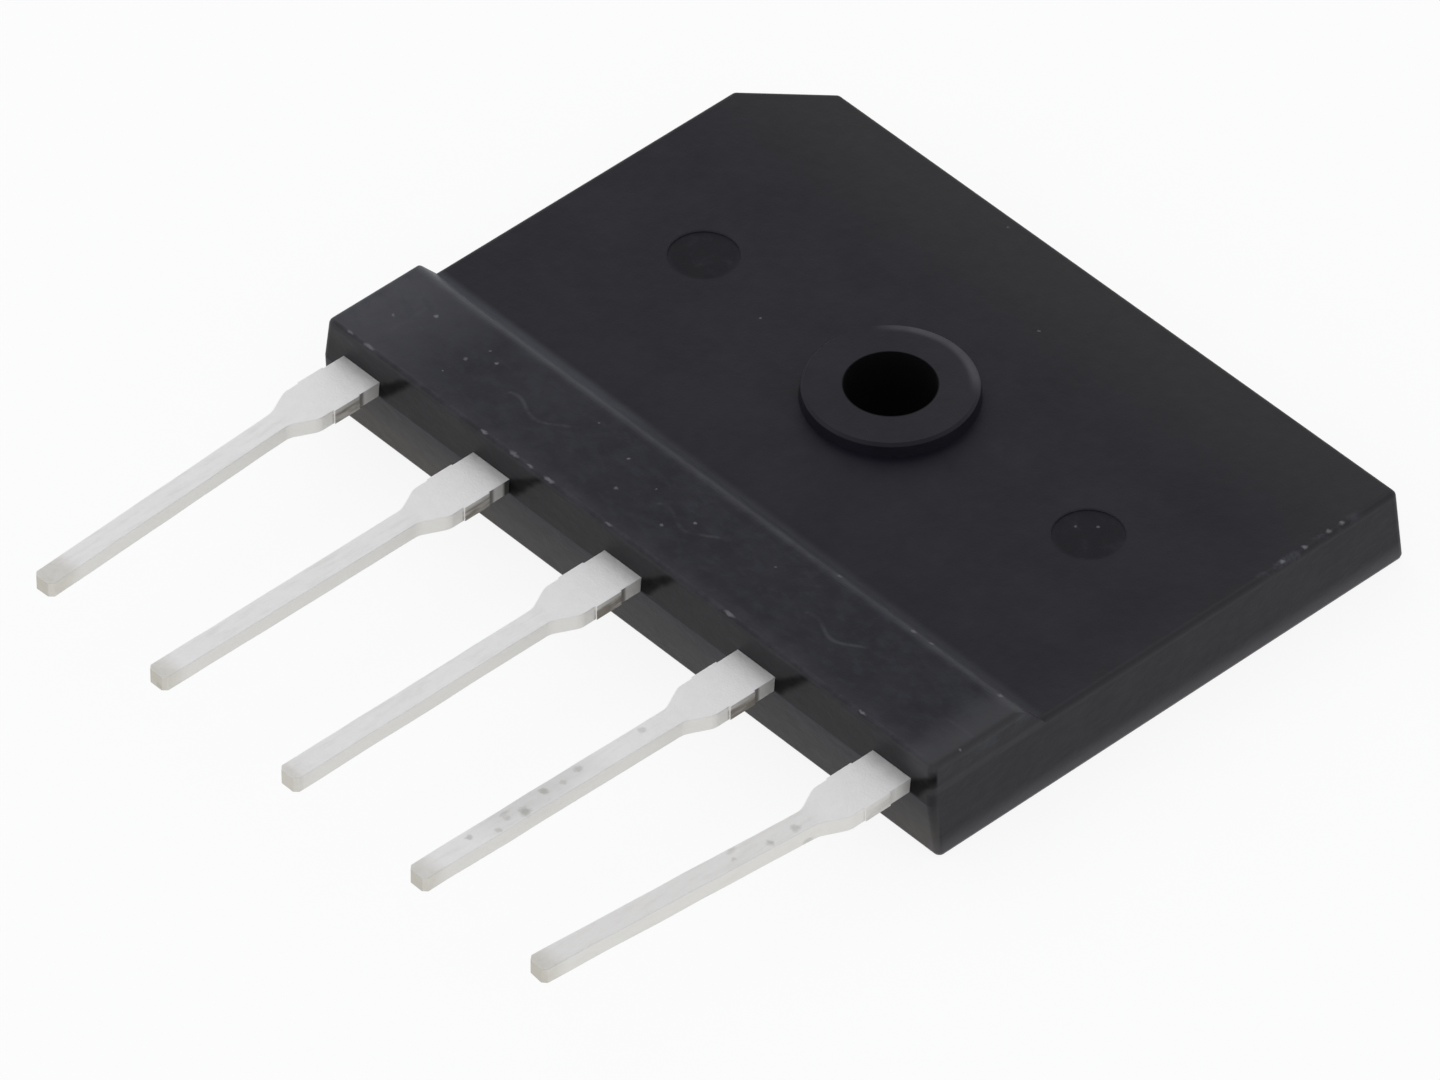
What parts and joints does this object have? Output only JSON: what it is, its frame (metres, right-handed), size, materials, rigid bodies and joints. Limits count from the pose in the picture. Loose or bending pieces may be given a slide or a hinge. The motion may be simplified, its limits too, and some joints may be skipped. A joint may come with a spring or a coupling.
{
  "type": "three-phase bridge rectifier",
  "caption": "Flat black moulded bridge rectifier with a ringed screw hole, a cut corner, a thicker strip over the lead roots and a row of flat tinned leads.",
  "frame": {"origin": "axis of the screw hole, on the heat-sink face", "axes": "+Z from the heat-sink face to the marked face, along the screw hole; -Y the way the leads point; X along the row of leads, with the plus lead and the cut corner at -X"},
  "size_m": [0.035, 0.0421, 0.0046],
  "materials": {
    "compound": "satin moulded epoxy compound",
    "tinned_lead": "dull bright tin over copper",
    "silicon": "metallised silicon with a glassed ledge",
    "copper": "bare stamped copper",
    "solder": "dull solder"
  },
  "bodies": {
    "root": {"molded_body": "compound", "lead_plus": "tinned_lead", "lead_ac_1": "tinned_lead", "lead_ac_2": "tinned_lead", "lead_ac_3": "tinned_lead", "lead_minus": "tinned_lead", "die_plus_1": "silicon", "die_plus_2": "silicon", "die_plus_3": "silicon", "die_minus_1": "silicon", "die_minus_2": "silicon", "die_minus_3": "silicon", "clip_ac_1": "copper", "clip_ac_2": "copper", "clip_ac_3": "copper", "clip_minus": "copper", "solder_under_plus_1": "solder", "solder_under_plus_2": "solder", "solder_under_plus_3": "solder", "solder_under_minus_1": "solder", "solder_under_minus_2": "solder", "solder_under_minus_3": "solder", "solder_over_plus_1": "solder", "solder_over_plus_2": "solder", "solder_over_plus_3": "solder", "solder_over_minus_1": "solder", "solder_over_minus_2": "solder", "solder_over_minus_3": "solder", "solder_foot_1": "solder", "solder_foot_2": "solder", "solder_foot_3": "solder", "solder_foot_minus": "solder"}
  },
  "joints": []
}
